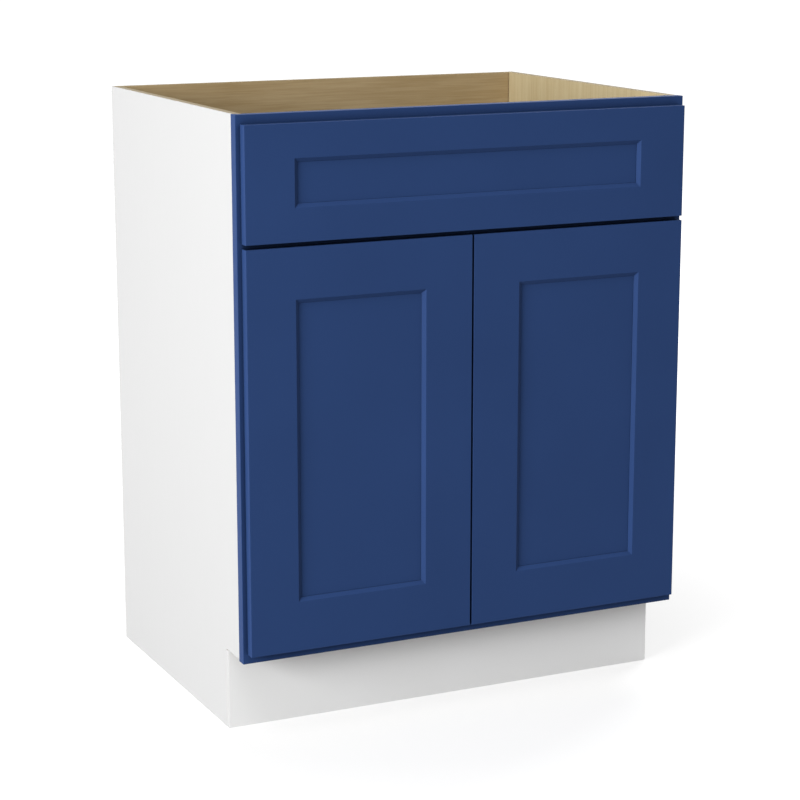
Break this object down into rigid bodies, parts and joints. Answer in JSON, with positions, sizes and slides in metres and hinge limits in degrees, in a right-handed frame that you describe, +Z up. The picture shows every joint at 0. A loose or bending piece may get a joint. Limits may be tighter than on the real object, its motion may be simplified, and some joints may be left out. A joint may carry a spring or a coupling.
{
  "type": "vanity base cabinet",
  "caption": "Framed bathroom sink base with a fixed false front over a pair of recessed-panel doors on concealed hinges, an open top and a recessed toe kick.",
  "frame": {"origin": "on the floor, at the middle of the width and of the overall depth", "axes": "+X to the right seen from the front, +Y to the back, +Z up; the doors face -Y"},
  "size_m": [0.6938, 0.5334, 0.8763],
  "materials": {
    "navy_paint": "satin navy paint on solid wood frames and flat panels",
    "side_panels": "smooth white laminate outside, clear maple veneer inside",
    "white_toe_board": "smooth white laminate on thin board",
    "maple_plywood": "clear-coated maple veneer plywood, satin",
    "brace_plastic": "moulded nylon, natural colour",
    "zinc_brackets": "zinc-plated sheet steel, bent",
    "nickel_hinges": "nickel-plated pressed steel",
    "steel_pins": "plain turned steel",
    "zinc_screws": "zinc-plated steel, pan heads",
    "clear_bumpers": "clear soft plastic"
  },
  "bodies": {
    "cabinet": {"left_side_panel": "side_panels", "right_side_panel": "side_panels", "back_panel": "maple_plywood", "bottom_deck": "maple_plywood", "toe_rail": "maple_plywood", "toe_kick_board": "white_toe_board", "frame_left_stile": "navy_paint", "frame_right_stile": "navy_paint", "frame_top_rail": "navy_paint", "frame_middle_rail": "navy_paint", "frame_bottom_rail": "navy_paint", "left_corner_brace": "brace_plastic", "right_corner_brace": "brace_plastic", "corner_brace_screws": "zinc_screws", "false_front_left_stile": "navy_paint", "false_front_right_stile": "navy_paint", "false_front_top_rail": "navy_paint", "false_front_bottom_rail": "navy_paint", "false_front_panel": "navy_paint", "false_front_brackets": "zinc_brackets", "false_front_bracket_screws": "zinc_screws", "left_hinge_brackets": "nickel_hinges", "left_hinge_frame_pins": "steel_pins", "left_hinge_bracket_screws": "zinc_screws", "right_hinge_brackets": "nickel_hinges", "right_hinge_frame_pins": "steel_pins", "right_hinge_bracket_screws": "zinc_screws"},
    "left_hinge_arms": {"left_hinge_arms": "nickel_hinges"},
    "left_door": {"left_door_hinge_stile": "navy_paint", "left_door_meeting_stile": "navy_paint", "left_door_top_rail": "navy_paint", "left_door_bottom_rail": "navy_paint", "left_door_panel": "navy_paint", "left_door_bumpers": "clear_bumpers", "left_hinge_cups": "nickel_hinges", "left_hinge_cup_pins": "steel_pins", "left_hinge_cup_screws": "zinc_screws"},
    "right_hinge_arms": {"right_hinge_arms": "nickel_hinges"},
    "right_door": {"right_door_hinge_stile": "navy_paint", "right_door_meeting_stile": "navy_paint", "right_door_top_rail": "navy_paint", "right_door_bottom_rail": "navy_paint", "right_door_panel": "navy_paint", "right_door_bumpers": "clear_bumpers", "right_hinge_cups": "nickel_hinges", "right_hinge_cup_pins": "steel_pins", "right_hinge_cup_screws": "zinc_screws"}
  },
  "joints": [
    {"name": "left_arm_turn", "type": "hinge", "parent": "cabinet", "child": "left_hinge_arms", "pos_m": [-0.30055, -0.2398, 0.4133], "axis": [0, 0, 1], "range_deg": [0, 44.1]},
    {"name": "left_door_swing", "type": "hinge", "parent": "left_hinge_arms", "child": "left_door", "pos_m": [-0.32805, -0.2538, 0.4133], "axis": [0, 0, -1], "range_deg": [0, 149.1], "stiffness_Nm_per_rad": 0.3, "springref_deg": -20.05},
    {"name": "right_arm_turn", "type": "hinge", "parent": "cabinet", "child": "right_hinge_arms", "pos_m": [0.30055, -0.2398, 0.4133], "axis": [0, 0, -1], "range_deg": [0, 44.1]},
    {"name": "right_door_swing", "type": "hinge", "parent": "right_hinge_arms", "child": "right_door", "pos_m": [0.32805, -0.2538, 0.4133], "axis": [0, 0, 1], "range_deg": [0, 149.1], "stiffness_Nm_per_rad": 0.3, "springref_deg": -20.05}
  ],
  "couplings": [
    {"joint": "left_arm_turn", "follows": "left_door_swing", "ratio": 0.29577},
    {"joint": "right_arm_turn", "follows": "right_door_swing", "ratio": 0.29577}
  ]
}
